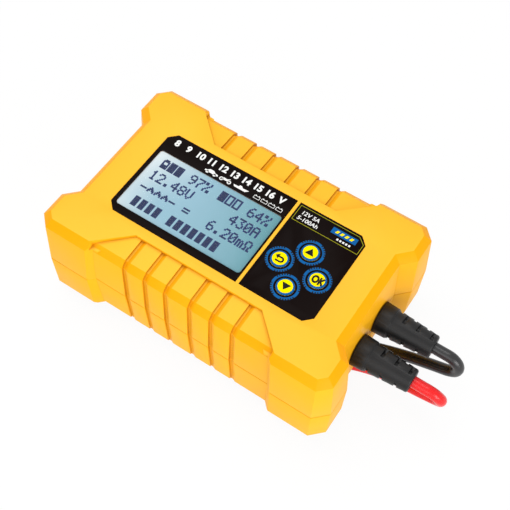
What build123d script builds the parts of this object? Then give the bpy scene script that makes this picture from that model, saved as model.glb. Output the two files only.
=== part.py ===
from build123d import *
import math
import os

# Hand-held battery tester: two-part ribbed case with a display and four keys, and two
# battery leads that leave one end through strain reliefs and end in spring clamps.
# Millimetres. Origin on the surface it stands on, under the middle of the case.
# +X runs towards the leads, +Y to the top of the display, +Z out of the display.

os.makedirs("parts", exist_ok=True)

# ---------------------------------------------------------------- driving dimensions
# Case, seen from above, at its flat top face
half_length = 72.0            # to the end faces of the corner bumpers
half_width = 44.0             # to the long faces of the corner bumpers
corner_cut_x = 3.2            # cut-off corners of the bumpers
corner_cut_y = 3.2
waist_half_width = 30.1       # the flat top is narrower between the bumpers
waist_flat_half = 33.0        # half length of that narrow stretch
bumper_side_start = 48.0      # where a bumper starts along the long side
end_recess = 5.9              # how far the end wall lies behind the bumpers
end_recess_half = 25.1        # half width of the flat end wall
end_recess_slope = 6.1        # slanted stretch from the end wall to a bumper

# Case, heights
foot_height = 7.0
lower_height = 22.8
upper_height = 28.6
edge_chamfer = 3.6            # slanted edge round the flat top
upper_draft = 3.6             # degrees, the side walls lean outwards going down
lower_draft = 1.0             # degrees, the lower walls lean inwards going down
parting_bevel = 0.4           # half of the groove along the parting line
bottom_bevel = 1.2
wall = 2.6
deck_wall = 2.4
floor_wall = 2.5

# Ribbed band between the bumpers, measured down from the top face
band_drop = 1.4
band_fall = 0.7               # the band slopes this much to its outer edge
band_edge_y = 42.0
band_chamfer_y = 3.1
band_chamfer_z = 2.95
rib_side_y = 46.2             # half width of the ribbed side at the parting line
rib_side_foot_y = 45.3        # and at the bottom
rib_zone_half = 47.0
bumper_end_lean = 4.4         # slant of the bumper's end beside the ribs
groove_starts = (-30.1, -19.0, -8.1, 4.6, 15.7, 26.7)
groove_width = 2.9
groove_floor = 1.1
groove_depth = 1.0

# Panels and display window in the top face
panel_half_width = 25.15
panel_corner = 3.8
screen_panel_x = (-53.4, 16.05)
keypad_panel_x = (17.8, 53.2)
panel_thickness = 0.6
panel_pocket = 0.5
window_x = (-51.4, 15.1)
window_y = (-21.0, 13.9)
window_corner = 1.5

# Display module
glass_margin = 3.0
glass_thickness = 2.4
backlight_thickness = 3.0
module_board_margin = 4.8
board_thickness = 1.6
module_frame_wall = 1.2
stack_gap = 0.1
display_pin_count = 16
display_pin_side = 0.7
display_pin_strip = 2.2
display_pin_inset = 2.5

# Keys
key_centres = {"back": (25.7, -5.1), "up": (35.1, 5.0), "ok": (44.8, -5.1), "down": (35.1, -15.4)}
key_radius = 4.1
key_clearance = 0.3
key_proud = 0.5
key_rounding = 0.35
key_flange_radius = 5.3
key_flange_thickness = 0.9
key_stem_radius = 1.7
switch_side = 6.0
switch_height = 3.5
plunger_radius = 1.5
plunger_height = 1.0

# Boards
main_board_end_gap = 5.6
main_board_width = 54.0
main_board_depth = 13.4       # its top below the top face
power_board_end_gap = 8.6
power_board_width = 58.0
power_board_post = 4.0
main_post_inset = (3.7, 3.4)  # from the board's corner
power_post_inset = (6.0, 5.0)
post_radius = 2.6
board_screw_radius = 1.2
board_screw_head = 2.4
board_screw_head_height = 1.5
board_screw_grip = 3.0

# Case screws and feet
case_screw_at = (63.5, 35.5)
case_boss_radius = 3.8
case_screw_radius = 1.45
case_screw_head_radius = 2.9
case_screw_head_height = 2.2
case_screw_bite = 12.0
foot_at = (54.5, 38.3)
foot_radius = 4.5
foot_seat = 0.8
fit_gap = 0.1

# Leads and strain reliefs
lead_diameter = 5.5
lead_y = 9.8
relief_length = 27.8
relief_collar_radius = 7.75
relief_collar_length = 6.6
relief_root_radius = 7.1
relief_tip_radius = 5.7
relief_neck_radius = 5.5
relief_flange_radius = 7.4
relief_flange_thickness = 2.0
relief_edge = 0.6
relief_slots = 6
relief_slot_pitch = 3.45
relief_slot_width = 1.5
relief_slot_depth = 2.3
relief_long_slot = (-71, 76)  # degrees from the top, start and sweep
relief_short_slot = (75, 65)
inner_lead_bend = 9.0

# Electronics, placed on the boards from the middle of the case
chip_at = (-12, 0)
chip_size = (10, 1.4)
chip_pins = 9
chip_pin_pitch = 1.0
chip_pin_size = (0.4, 1.6, 0.5)
buzzer_at = (30, 14)
buzzer_radius = 6.0
buzzer_height = 7.0
buzzer_hole_radius = 1.0
buzzer_base = 1.0
link_at = (-40, 20)
link_connector_size = (18, 5, 6)
link_ribbon_size = (14, 1)
relay_at = (28, -16)
relay_size = (19, 15.5, 15.5)
relay_edge = 0.6
resistor_at = (-14, 20)
resistor_size = (25, 10, 9)
resistor_edge = 0.8
resistor_leg_height = 1.0
resistor_leg_span = 19.0
resistor_leg_radius = 0.6
capacitor_places = [(10, 17), (24, 17), (38, 17)]
capacitor_radius = 5.2
capacitor_height = 16.0
capacitor_crimp = 0.2
capacitor_crimp_from = 2.0
capacitor_crimp_height = 1.0
choke_at = (2, -14)
choke_radius = 10.0
choke_hole_radius = 5.0
choke_height = 8.0
choke_turns = 16
choke_wire = 1.2
heatsink_at = (-30, -17)
heatsink_size = (40, 14, 20)
heatsink_plate = 3.0
heatsink_fins = 9
heatsink_fin_pitch = 4.7
heatsink_fin_thickness = 1.4
transistor_offsets = (-10, 10)
transistor_width = 10.0
transistor_leg_height = 4.0
transistor_tab = (1.4, 15)
transistor_body = (3.2, 9)
transistor_leg_size = (0.8, 0.6)
pin_pitch = 2.54
fuse_at = (-5, 2)
fuse_height = 4.0
fuse_length = 21.0
fuse_radius = 2.3
fuse_cap_radius = 2.65
fuse_cap_length = 5.0
fuse_clip_offset = 9.0
fuse_clip_size = (4, 7.4, 8)
fuse_clip_mouth = (3.4, 4)
terminal_inset = 3.0          # from the power board's end
terminal_nut_radius = 4.5
terminal_nut_height = 2.5
terminal_stud_radius = 3.4
terminal_below_bend = 2.0

# Power inlet in the hidden end
inlet_above_board = 6.5
inlet_body = (13.5, 10.0, 11.0)
inlet_barrel_radius = 4.0
inlet_bore_radius = 3.2
inlet_bore_depth = 9.0
inlet_pin_radius = 1.05
inlet_pin_length = 8.0

# Battery clamps
clamp_length = 50.0
clamp_width = 10.0
clamp_case_gap = 1.2
boot_length = 6.0
boot_radius = 4.0
pivot_at = 22.0               # from the back of the handles
pivot_height = 13.0
handle_height = 7.6
ear_radius = 4.6
ear_thickness = 1.5
ear_clearance = 0.25
pin_radius = 1.5
pin_running_gap = 0.08
spring_wire = 1.0
jaw_plate = 1.2
jaw_closed_gap = 0.3
tooth_pitch = 2.0
lead_entry_height = 3.9
clamp_back_black = 38.0
clamp_back_red = -43.0
jaw_opening_slope = 4.0       # the lower half rises over this much at its tip

# ---------------------------------------------------------------- derived dimensions
case_floor = foot_height
parting = case_floor + lower_height
top = parting + upper_height
deck_under = top - deck_wall
floor_top = case_floor + floor_wall
upper_wall_height = upper_height - edge_chamfer - parting_bevel
draft_growth = upper_wall_height * math.tan(math.radians(upper_draft))
side_growth = edge_chamfer + draft_growth
end_wall_out = half_length - end_recess + side_growth
end_wall_in = end_wall_out - wall
relief_tip = end_wall_out + relief_length
panel_top = top - panel_pocket + panel_thickness
main_board_top = top - main_board_depth
main_board_under = main_board_top - board_thickness
power_board_under = floor_top + power_board_post
power_board_top = power_board_under + board_thickness
glass_top = deck_under - stack_gap
backlight_top = glass_top - glass_thickness - stack_gap
module_board_top = backlight_top - backlight_thickness - stack_gap
module_board_under = module_board_top - board_thickness
window_size = (window_x[1] - window_x[0], window_y[1] - window_y[0])
window_centre = ((window_x[0] + window_x[1]) / 2, (window_y[0] + window_y[1]) / 2)
glass_size = (window_size[0] + 2 * glass_margin, window_size[1] + 2 * glass_margin)
module_board_size = (
    window_size[0] + 2 * module_board_margin,
    window_size[1] + 2 * module_board_margin,
)
main_board_size = (2 * (end_wall_in - main_board_end_gap), main_board_width)
power_board_size = (2 * (end_wall_in - power_board_end_gap), power_board_width)
main_post = (
    main_board_size[0] / 2 - main_post_inset[0],
    main_board_size[1] / 2 - main_post_inset[1],
)
power_post = (
    power_board_size[0] / 2 - power_post_inset[0],
    power_board_size[1] / 2 - power_post_inset[1],
)
lead_radius = lead_diameter / 2
inlet_height = power_board_top + inlet_above_board
clamp_y = half_width + side_growth + clamp_case_gap + clamp_width / 2


# ---------------------------------------------------------------- shared helpers
def down_plane(height):
    """Horizontal plane whose normal points down, so extrusions go downwards."""
    return Plane(origin=(0, 0, height), x_dir=(1, 0, 0), z_dir=(0, 0, -1))


def four_corners(at):
    """The same place in each quarter of the case."""
    return [(sx * at[0], sy * at[1]) for sx in (-1, 1) for sy in (-1, 1)]


def case_points():
    """Outline of the flat top face, one quarter mirrored round the case."""
    end_x = half_length - end_recess
    quarter = [
        (end_x, end_recess_half),
        (half_length, end_recess_half + end_recess_slope),
        (half_length, half_width - corner_cut_y),
        (half_length - corner_cut_x, half_width),
        (bumper_side_start, half_width),
        (waist_flat_half, waist_half_width),
    ]
    left = [(-x, y) for x, y in reversed(quarter)]
    upper = quarter + left
    lower = [(-x, -y) for x, y in upper]
    return upper + lower


def case_outline(grow):
    """Case outline with every edge moved outwards by grow, in the current sketch."""
    Polygon(*case_points(), align=None)
    if grow:
        offset(amount=grow, kind=Kind.INTERSECTION)


def cavity_outline():
    """Room inside the side walls: the outer outline less one wall, straight beside the ribs."""
    grow = side_growth - wall
    rib_wall_half = rib_zone_half + bumper_end_lean + wall / 2
    rib_wall_y = rib_side_foot_y - groove_depth - 0.7 * wall
    bumper_room = half_width + side_growth
    Polygon(*case_points(), align=None)
    offset(amount=grow, kind=Kind.INTERSECTION)
    for side in (-1, 1):
        with Locations((0, side * (rib_wall_y + bumper_room / 2))):
            Rectangle(2 * rib_wall_half, bumper_room, mode=Mode.SUBTRACT)
    Rectangle(2 * rib_wall_half, 2 * rib_wall_y)


def bumper_end_cutters(low, high):
    """Slanted ends of the bumpers beside the ribbed sides."""
    inner_y = rib_side_foot_y - parting_bevel
    inner_x = rib_zone_half - (rib_side_y - inner_y)
    for side in (-1, 1):
        with BuildSketch(Plane.XY.offset(low)) as cutter:
            Polygon(
                (-inner_x, side * inner_y),
                (inner_x, side * inner_y),
                (inner_x + bumper_end_lean, side * (inner_y + bumper_end_lean)),
                (inner_x + bumper_end_lean, side * (half_width + 2 * side_growth)),
                (-inner_x - bumper_end_lean, side * (half_width + 2 * side_growth)),
                (-inner_x - bumper_end_lean, side * (inner_y + bumper_end_lean)),
                align=None,
            )
        extrude(cutter.sketch, amount=high - low, mode=Mode.SUBTRACT)


def waist_step_cutters():
    """Upright step from the flat top down to each ribbed band, along the narrow outline."""
    slope = (half_width - waist_half_width) / (bumper_side_start - waist_flat_half)
    end_y = waist_half_width + slope * (rib_zone_half - waist_flat_half)
    outside = half_width + 2 * side_growth
    for side in (-1, 1):
        with BuildSketch(Plane.XY.offset(top - edge_chamfer)) as cutter:
            Polygon(
                (-rib_zone_half, side * end_y),
                (-waist_flat_half, side * waist_half_width),
                (waist_flat_half, side * waist_half_width),
                (rib_zone_half, side * end_y),
                (rib_zone_half, side * outside),
                (-rib_zone_half, side * outside),
                align=None,
            )
        extrude(cutter.sketch, amount=edge_chamfer, mode=Mode.SUBTRACT)


def side_groove(start, end, side):
    """Rib grooves along one straight stretch of the case's profile, from start to end (y, z)."""
    along = (0, side * (end[0] - start[0]), end[1] - start[1])
    length = math.hypot(along[1], along[2])
    run = Plane(origin=(0, side * start[0], start[1]), x_dir=(1, 0, 0), z_dir=along)
    into = groove_depth * side
    for x in groove_starts:
        with BuildSketch(run) as groove:
            Polygon(
                (x, -into),
                (x, into),
                (x + groove_floor, into),
                (x + groove_width, 0),
                (x + groove_width, -into),
                align=None,
            )
        extrude(groove.sketch, amount=length, mode=Mode.SUBTRACT)


def bored_post(at, radius, low, high, hole_radius, hole_low, hole_high):
    """Posts at four corners between two heights, with a screw hole."""
    with BuildSketch(Plane.XY.offset(low)) as posts:
        with Locations(*four_corners(at)):
            Circle(radius)
    extrude(posts.sketch, amount=high - low)
    with BuildSketch(Plane.XY.offset(hole_low)) as holes:
        with Locations(*four_corners(at)):
            Circle(hole_radius)
    extrude(holes.sketch, amount=hole_high - hole_low, mode=Mode.SUBTRACT)


def end_wall_holes(x_from, x_to, places, radius):
    """Round holes along X through an end wall, at (y, z) places."""
    with BuildSketch(Plane.YZ.offset(x_from)) as holes:
        with Locations(*places):
            Circle(radius)
    extrude(holes.sketch, amount=x_to - x_from, mode=Mode.SUBTRACT)


def save(builder, name):
    """Label one finished piece and write it to its own file."""
    builder.part.label = name
    export_step(builder.part, "parts/" + name + ".step")


# ---------------------------------------------------------------- case
side_top = top - band_drop - band_fall - band_chamfer_z
band_profile = [
    (waist_half_width, top - band_drop),
    (band_edge_y, top - band_drop - band_fall),
    (band_edge_y + band_chamfer_y, side_top),
    (rib_side_y, parting + parting_bevel),
    (rib_side_y - parting_bevel, parting),
]
foot_profile = [
    (rib_side_y - parting_bevel, parting),
    (rib_side_y, parting - parting_bevel),
    (rib_side_foot_y, case_floor + bottom_bevel),
    (rib_side_foot_y - bottom_bevel, case_floor),
]
relief_places = [(-lead_y, parting), (lead_y, parting)]

with BuildPart() as upper_shell:
    with BuildSketch(down_plane(top)):
        case_outline(0)
    extrude(amount=edge_chamfer, taper=-45)
    with BuildSketch(down_plane(top - edge_chamfer)):
        case_outline(edge_chamfer)
    extrude(amount=upper_wall_height, taper=-upper_draft)
    with BuildSketch(down_plane(parting + parting_bevel)):
        case_outline(side_growth)
    extrude(amount=parting_bevel, taper=45)
    bumper_end_cutters(parting, top)
    waist_step_cutters()
    # Ribbed band and sides between the bumpers
    with BuildSketch(Plane.YZ.offset(-rib_zone_half)):
        Polygon(*band_profile, *[(-y, z) for y, z in reversed(band_profile)], align=None)
    extrude(amount=2 * rib_zone_half)
    for side in (-1, 1):
        side_groove(band_profile[0], band_profile[1], side)
        side_groove(band_profile[1], band_profile[2], side)
        side_groove(band_profile[2], (rib_side_y, parting), side)
    # Hollow inside: a shallow stage under the deck, then the full room
    with BuildSketch(Plane.XY.offset(parting)):
        case_outline(-1.5)
    extrude(amount=deck_under - parting, mode=Mode.SUBTRACT)
    with BuildSketch(Plane.XY.offset(parting)):
        cavity_outline()
    extrude(amount=side_top - wall - parting, mode=Mode.SUBTRACT)
    # Pockets for the two panels, the display window and the keys
    with BuildSketch(Plane.XY.offset(top - panel_pocket)):
        with Locations(((screen_panel_x[0] + keypad_panel_x[1]) / 2, 0)):
            panel_sweep = keypad_panel_x[1] - screen_panel_x[0] + 2 * fit_gap
            Rectangle(panel_sweep, 2 * panel_half_width + 2 * fit_gap)
        chamfer(vertices(), panel_corner)
    extrude(amount=panel_pocket, mode=Mode.SUBTRACT)
    with BuildSketch(Plane.XY.offset(top - panel_pocket)):
        with Locations(((screen_panel_x[1] + keypad_panel_x[0]) / 2, 0)):
            Rectangle(
                keypad_panel_x[0] - screen_panel_x[1] - 2 * fit_gap,
                2 * panel_half_width + 2 * fit_gap,
            )
    extrude(amount=panel_pocket)
    with BuildSketch(Plane.XY.offset(deck_under)):
        with Locations(window_centre):
            RectangleRounded(
                window_size[0] + 2 * fit_gap, window_size[1] + 2 * fit_gap, window_corner
            )
        with Locations(*key_centres.values()):
            Circle(key_radius + key_clearance)
    extrude(amount=deck_wall, mode=Mode.SUBTRACT)
    # Posts for the main board and for the case screws
    bored_post(
        main_post,
        post_radius,
        main_board_top,
        deck_under,
        board_screw_radius,
        main_board_top,
        main_board_top + board_screw_grip,
    )
    bored_post(
        case_screw_at,
        case_boss_radius,
        parting,
        deck_under,
        case_screw_radius,
        parting,
        parting + case_screw_bite,
    )
    end_wall_holes(end_wall_in - wall, relief_tip, relief_places, relief_neck_radius + fit_gap)
save(upper_shell, "upper_shell")

with BuildPart() as lower_shell:
    with BuildSketch(down_plane(parting)):
        case_outline(side_growth - parting_bevel)
    extrude(amount=parting_bevel, taper=-45)
    with BuildSketch(down_plane(parting - parting_bevel)):
        case_outline(side_growth)
    lower_wall_height = lower_height - parting_bevel - bottom_bevel
    extrude(amount=lower_wall_height, taper=lower_draft)
    with BuildSketch(down_plane(case_floor + bottom_bevel)):
        case_outline(side_growth - lower_wall_height * math.tan(math.radians(lower_draft)))
    extrude(amount=bottom_bevel, taper=45)
    bumper_end_cutters(case_floor, parting)
    with BuildSketch(Plane.YZ.offset(-rib_zone_half)):
        Polygon(*foot_profile, *[(-y, z) for y, z in reversed(foot_profile)], align=None)
    extrude(amount=2 * rib_zone_half)
    for side in (-1, 1):
        side_groove((rib_side_y, parting), (rib_side_foot_y, case_floor), side)
    with BuildSketch(Plane.XY.offset(floor_top)):
        cavity_outline()
    extrude(amount=parting - floor_top, mode=Mode.SUBTRACT)
    bored_post(
        power_post,
        post_radius,
        floor_top,
        power_board_under,
        board_screw_radius,
        power_board_under - board_screw_grip,
        power_board_under,
    )
    bored_post(
        case_screw_at,
        case_boss_radius,
        floor_top,
        parting,
        case_screw_radius + 2 * fit_gap,
        case_floor,
        parting,
    )
    # Counterbores for the case screws, shallow seats for the feet
    with BuildSketch(Plane.XY.offset(case_floor)):
        with Locations(*four_corners(case_screw_at)):
            Circle(case_screw_head_radius + 2 * fit_gap)
    extrude(amount=case_screw_head_height, mode=Mode.SUBTRACT)
    with BuildSketch(Plane.XY.offset(case_floor)):
        with Locations(*four_corners(foot_at)):
            Circle(foot_radius + fit_gap)
    extrude(amount=foot_seat, mode=Mode.SUBTRACT)
    end_wall_holes(end_wall_in - wall, relief_tip, relief_places, relief_neck_radius + fit_gap)
    end_wall_holes(
        -relief_tip, wall - end_wall_in, [(0, inlet_height)], inlet_barrel_radius + fit_gap
    )
save(lower_shell, "lower_shell")

with BuildPart() as case_screws:
    with BuildSketch(Plane.XY.offset(case_floor + fit_gap)):
        with Locations(*four_corners(case_screw_at)):
            Circle(case_screw_head_radius)
    extrude(amount=case_screw_head_height - fit_gap)
    with BuildSketch(Plane.XY.offset(case_floor + case_screw_head_height)):
        with Locations(*four_corners(case_screw_at)):
            Circle(case_screw_radius)
    extrude(amount=parting - case_floor - case_screw_head_height + case_screw_bite - 1)
    # Cross recess in each head
    with BuildSketch(Plane.XY.offset(case_floor)):
        with Locations(*four_corners(case_screw_at)):
            Rectangle(case_screw_head_radius, 0.6)
            Rectangle(0.6, case_screw_head_radius)
    extrude(amount=1.3, mode=Mode.SUBTRACT)
save(case_screws, "case_screws")

with BuildPart() as rubber_feet:
    with BuildSketch(Plane.XY):
        with Locations(*four_corners(foot_at)):
            Circle(foot_radius - 0.8)
    extrude(amount=1)
    with BuildSketch(Plane.XY.offset(1)):
        with Locations(*four_corners(foot_at)):
            Circle(foot_radius)
    extrude(amount=foot_height + foot_seat - 1)
save(rubber_feet, "rubber_feet")


# ---------------------------------------------------------------- panels and display
def panel_sketch(x_range, outer_side):
    """One panel's outline, with cut-off corners on its outer side."""
    with Locations(((x_range[0] + x_range[1]) / 2, 0)):
        Rectangle(x_range[1] - x_range[0], 2 * panel_half_width)
    by_x = vertices().sort_by(Axis.X)
    chamfer(by_x[-2:] if outer_side > 0 else by_x[:2], panel_corner)


with BuildPart() as screen_panel:
    with BuildSketch(Plane.XY.offset(top - panel_pocket)):
        panel_sketch(screen_panel_x, -1)
        with Locations(window_centre):
            RectangleRounded(
                window_size[0] + 2 * fit_gap,
                window_size[1] + 2 * fit_gap,
                window_corner,
                mode=Mode.SUBTRACT,
            )
    extrude(amount=panel_thickness)
save(screen_panel, "screen_panel")

with BuildPart() as keypad_panel:
    with BuildSketch(Plane.XY.offset(top - panel_pocket)):
        panel_sketch(keypad_panel_x, 1)
        with Locations(*key_centres.values()):
            Circle(key_radius + key_clearance, mode=Mode.SUBTRACT)
    extrude(amount=panel_thickness)
save(keypad_panel, "keypad_panel")

with BuildPart() as display_window:
    with BuildSketch(Plane.XY.offset(top - panel_pocket)):
        with Locations(window_centre):
            RectangleRounded(window_size[0], window_size[1], window_corner)
    extrude(amount=panel_thickness)
save(display_window, "display_window")

with BuildPart() as display_glass:
    with BuildSketch(Plane.XY.offset(glass_top - glass_thickness)):
        with Locations(window_centre):
            Rectangle(*glass_size)
    extrude(amount=glass_thickness)
    # The face of the display stands up through the deck to the window
    with BuildSketch(Plane.XY.offset(glass_top)):
        with Locations(window_centre):
            RectangleRounded(window_size[0], window_size[1], window_corner)
    extrude(amount=top - panel_pocket - glass_top)
save(display_glass, "display_glass")

with BuildPart() as backlight:
    with BuildSketch(Plane.XY.offset(backlight_top - backlight_thickness)):
        with Locations(window_centre):
            Rectangle(*glass_size)
    extrude(amount=backlight_thickness)
    # Lamp strip along one end
    with BuildSketch(Plane.XY.offset(backlight_top - backlight_thickness)):
        with Locations((window_centre[0] + glass_size[0] / 2 - 2, window_centre[1])):
            with GridLocations(1, 5.5, 1, 6):
                Rectangle(2, 3)
    extrude(amount=1, mode=Mode.SUBTRACT)
save(backlight, "backlight")

with BuildPart() as display_frame:
    with BuildSketch(Plane.XY.offset(module_board_top)):
        with Locations(window_centre):
            Rectangle(
                glass_size[0] + 2 * module_frame_wall + 2 * fit_gap,
                glass_size[1] + 2 * module_frame_wall + 2 * fit_gap,
            )
            Rectangle(
                glass_size[0] + 2 * fit_gap, glass_size[1] + 2 * fit_gap, mode=Mode.SUBTRACT
            )
    extrude(amount=glass_top - module_board_top)
save(display_frame, "display_frame")

with BuildPart() as display_board:
    with BuildSketch(Plane.XY.offset(module_board_under)):
        with Locations(window_centre):
            Rectangle(*module_board_size)
    extrude(amount=board_thickness)
save(display_board, "display_board")

pin_row_y = window_centre[1] - module_board_size[1] / 2 + display_pin_inset
with BuildPart() as display_pins:
    with BuildSketch(Plane.XY.offset(main_board_top)):
        with Locations((window_centre[0], pin_row_y)):
            with GridLocations(pin_pitch, 1, display_pin_count, 1):
                Rectangle(display_pin_side, display_pin_side)
    extrude(amount=module_board_under - main_board_top)
    with BuildSketch(Plane.XY.offset(main_board_top)):
        with Locations((window_centre[0], pin_row_y)):
            Rectangle(display_pin_count * pin_pitch, display_pin_strip)
    extrude(amount=(module_board_under - main_board_top) * 0.7)
save(display_pins, "display_pins")

# ---------------------------------------------------------------- keys and their switches
key_top = panel_top + key_proud
plunger_top = main_board_top + switch_height + plunger_height
for key, centre in key_centres.items():
    at = Plane(origin=(centre[0], centre[1], 0))
    with BuildPart() as key_cap:
        with BuildSketch(at.offset(deck_under - key_flange_thickness - 0.1)):
            Circle(key_flange_radius)
        extrude(amount=key_flange_thickness)
        with BuildSketch(at.offset(deck_under - 0.1)):
            Circle(key_radius)
        extrude(amount=key_top - deck_under + 0.1)
        fillet(key_cap.edges().sort_by(Axis.Z)[-1], key_rounding)
        with BuildSketch(at.offset(plunger_top)):
            Circle(key_stem_radius)
        extrude(amount=deck_under - key_flange_thickness - plunger_top)
    save(key_cap, "key_" + key)
    with BuildPart() as key_plunger:
        with BuildSketch(at.offset(plunger_top - plunger_height - 1.2)):
            Circle(plunger_radius)
        extrude(amount=plunger_height + 1.2)
    save(key_plunger, "plunger_" + key)

with BuildPart() as key_switches:
    with BuildSketch(Plane.XY.offset(main_board_top)):
        with Locations(*key_centres.values()):
            Rectangle(switch_side, switch_side)
    extrude(amount=switch_height)
    with BuildSketch(Plane.XY.offset(main_board_top + switch_height - 2.2)):
        with Locations(*key_centres.values()):
            Circle(plunger_radius + fit_gap)
    extrude(amount=2.2, mode=Mode.SUBTRACT)
save(key_switches, "key_switches")

# ---------------------------------------------------------------- boards and electronics
with BuildPart() as main_board:
    with BuildSketch(Plane.XY.offset(main_board_under)):
        Rectangle(*main_board_size)
        with Locations(*four_corners(main_post)):
            Circle(board_screw_radius + fit_gap, mode=Mode.SUBTRACT)
    extrude(amount=board_thickness)
save(main_board, "main_board")

with BuildPart() as power_board:
    with BuildSketch(Plane.XY.offset(power_board_under)):
        Rectangle(*power_board_size)
        with Locations(*four_corners(power_post)):
            Circle(board_screw_radius + fit_gap, mode=Mode.SUBTRACT)
    extrude(amount=board_thickness)
save(power_board, "power_board")

with BuildPart() as board_screws:
    with BuildSketch(Plane.XY.offset(main_board_under - board_screw_head_height)):
        with Locations(*four_corners(main_post)):
            Circle(board_screw_head)
    extrude(amount=board_screw_head_height)
    with BuildSketch(Plane.XY.offset(main_board_under)):
        with Locations(*four_corners(main_post)):
            Circle(board_screw_radius)
    extrude(amount=board_thickness + board_screw_grip - 0.3)
    with BuildSketch(Plane.XY.offset(power_board_top)):
        with Locations(*four_corners(power_post)):
            Circle(board_screw_head)
    extrude(amount=board_screw_head_height)
    with BuildSketch(down_plane(power_board_top)):
        with Locations(*four_corners(power_post)):
            Circle(board_screw_radius)
    extrude(amount=board_thickness + board_screw_grip - 0.3)
save(board_screws, "board_screws")

with BuildPart() as control_chip:
    with BuildSketch(Plane.XY.offset(main_board_under - chip_size[1] - stack_gap)):
        with Locations(chip_at):
            Rectangle(chip_size[0], chip_size[0])
    extrude(amount=chip_size[1])
    pin_span = chip_size[0] + chip_pin_size[1] - 0.2
    with BuildSketch(Plane.XY.offset(main_board_under - chip_pin_size[2])):
        with Locations(chip_at):
            with GridLocations(chip_pin_pitch, pin_span, chip_pins, 2):
                Rectangle(chip_pin_size[0], chip_pin_size[1])
            with GridLocations(pin_span, chip_pin_pitch, 2, chip_pins):
                Rectangle(chip_pin_size[1], chip_pin_size[0])
    extrude(amount=chip_pin_size[2])
save(control_chip, "control_chip")

with BuildPart() as buzzer:
    with BuildSketch(Plane.XY.offset(main_board_under - buzzer_height)):
        with Locations(buzzer_at):
            Circle(buzzer_radius)
            Circle(buzzer_hole_radius, mode=Mode.SUBTRACT)
    extrude(amount=buzzer_height - buzzer_base)
    with BuildSketch(Plane.XY.offset(main_board_under - buzzer_base)):
        with Locations(buzzer_at):
            Circle(buzzer_radius)
    extrude(amount=buzzer_base)
save(buzzer, "buzzer")

link_height = link_connector_size[2]
with BuildPart() as link_connectors:
    for connector_base in (main_board_under - link_height, power_board_top):
        with BuildSketch(Plane.XY.offset(connector_base)):
            with Locations(link_at):
                Rectangle(link_connector_size[0], link_connector_size[1])
        extrude(amount=link_height)
save(link_connectors, "link_connectors")

with BuildPart() as link_ribbon:
    with BuildSketch(Plane.XY.offset(power_board_top + link_height)):
        with Locations(link_at):
            Rectangle(*link_ribbon_size)
    extrude(amount=main_board_under - power_board_top - 2 * link_height)
save(link_ribbon, "link_ribbon")

with BuildPart() as load_relay:
    with BuildSketch(Plane.XY.offset(power_board_top)):
        with Locations(relay_at):
            Rectangle(relay_size[0], relay_size[1])
    extrude(amount=relay_size[2])
    chamfer(load_relay.faces().sort_by(Axis.Z)[-1].edges(), relay_edge)
save(load_relay, "load_relay")

with BuildPart() as load_resistor:
    with BuildSketch(Plane.XY.offset(power_board_top + resistor_leg_height)):
        with Locations(resistor_at):
            Rectangle(resistor_size[0], resistor_size[1])
    extrude(amount=resistor_size[2])
    chamfer(load_resistor.edges().filter_by(Axis.X), resistor_edge)
    with BuildSketch(Plane.XY.offset(power_board_top)):
        with Locations(resistor_at):
            with GridLocations(resistor_leg_span, 1, 2, 1):
                Circle(resistor_leg_radius)
    extrude(amount=resistor_leg_height)
save(load_resistor, "load_resistor")

with BuildPart() as capacitors:
    with BuildSketch(Plane.XY.offset(power_board_top)):
        with Locations(*capacitor_places):
            Circle(capacitor_radius)
    extrude(amount=capacitor_height)
    with BuildSketch(Plane.XY.offset(power_board_top + capacitor_crimp_from)):
        with Locations(*capacitor_places):
            Circle(capacitor_radius + capacitor_crimp)
            Circle(capacitor_radius - capacitor_crimp, mode=Mode.SUBTRACT)
    extrude(amount=capacitor_crimp_height, mode=Mode.SUBTRACT)
save(capacitors, "capacitors")


def choke_ring():
    """The ferrite ring's section, in the current part."""
    with BuildSketch(Plane.XY.offset(power_board_top + choke_wire)) as ring:
        with Locations(choke_at):
            Circle(choke_radius)
            Circle(choke_hole_radius, mode=Mode.SUBTRACT)
    return ring.sketch


with BuildPart() as choke_core:
    extrude(choke_ring(), amount=choke_height)
save(choke_core, "choke_core")

with BuildPart() as choke_winding:
    with BuildSketch(Plane.XY.offset(power_board_top)):
        with Locations(choke_at):
            with PolarLocations((choke_radius + choke_hole_radius) / 2, choke_turns):
                Rectangle(choke_radius - choke_hole_radius + 2 * choke_wire - 0.2, choke_wire)
    extrude(amount=choke_height + 2 * choke_wire)
    extrude(choke_ring(), amount=choke_height, mode=Mode.SUBTRACT)
save(choke_winding, "choke_winding")

with BuildPart() as heatsink:
    with BuildSketch(Plane.XY.offset(power_board_top)):
        with Locations(heatsink_at):
            Rectangle(heatsink_size[0], heatsink_plate)
        with Locations((heatsink_at[0], heatsink_at[1] - heatsink_size[1] / 4)):
            with GridLocations(heatsink_fin_pitch, 1, heatsink_fins, 1):
                Rectangle(heatsink_fin_thickness, heatsink_size[1] / 2)
    extrude(amount=heatsink_size[2])
save(heatsink, "heatsink")

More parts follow.
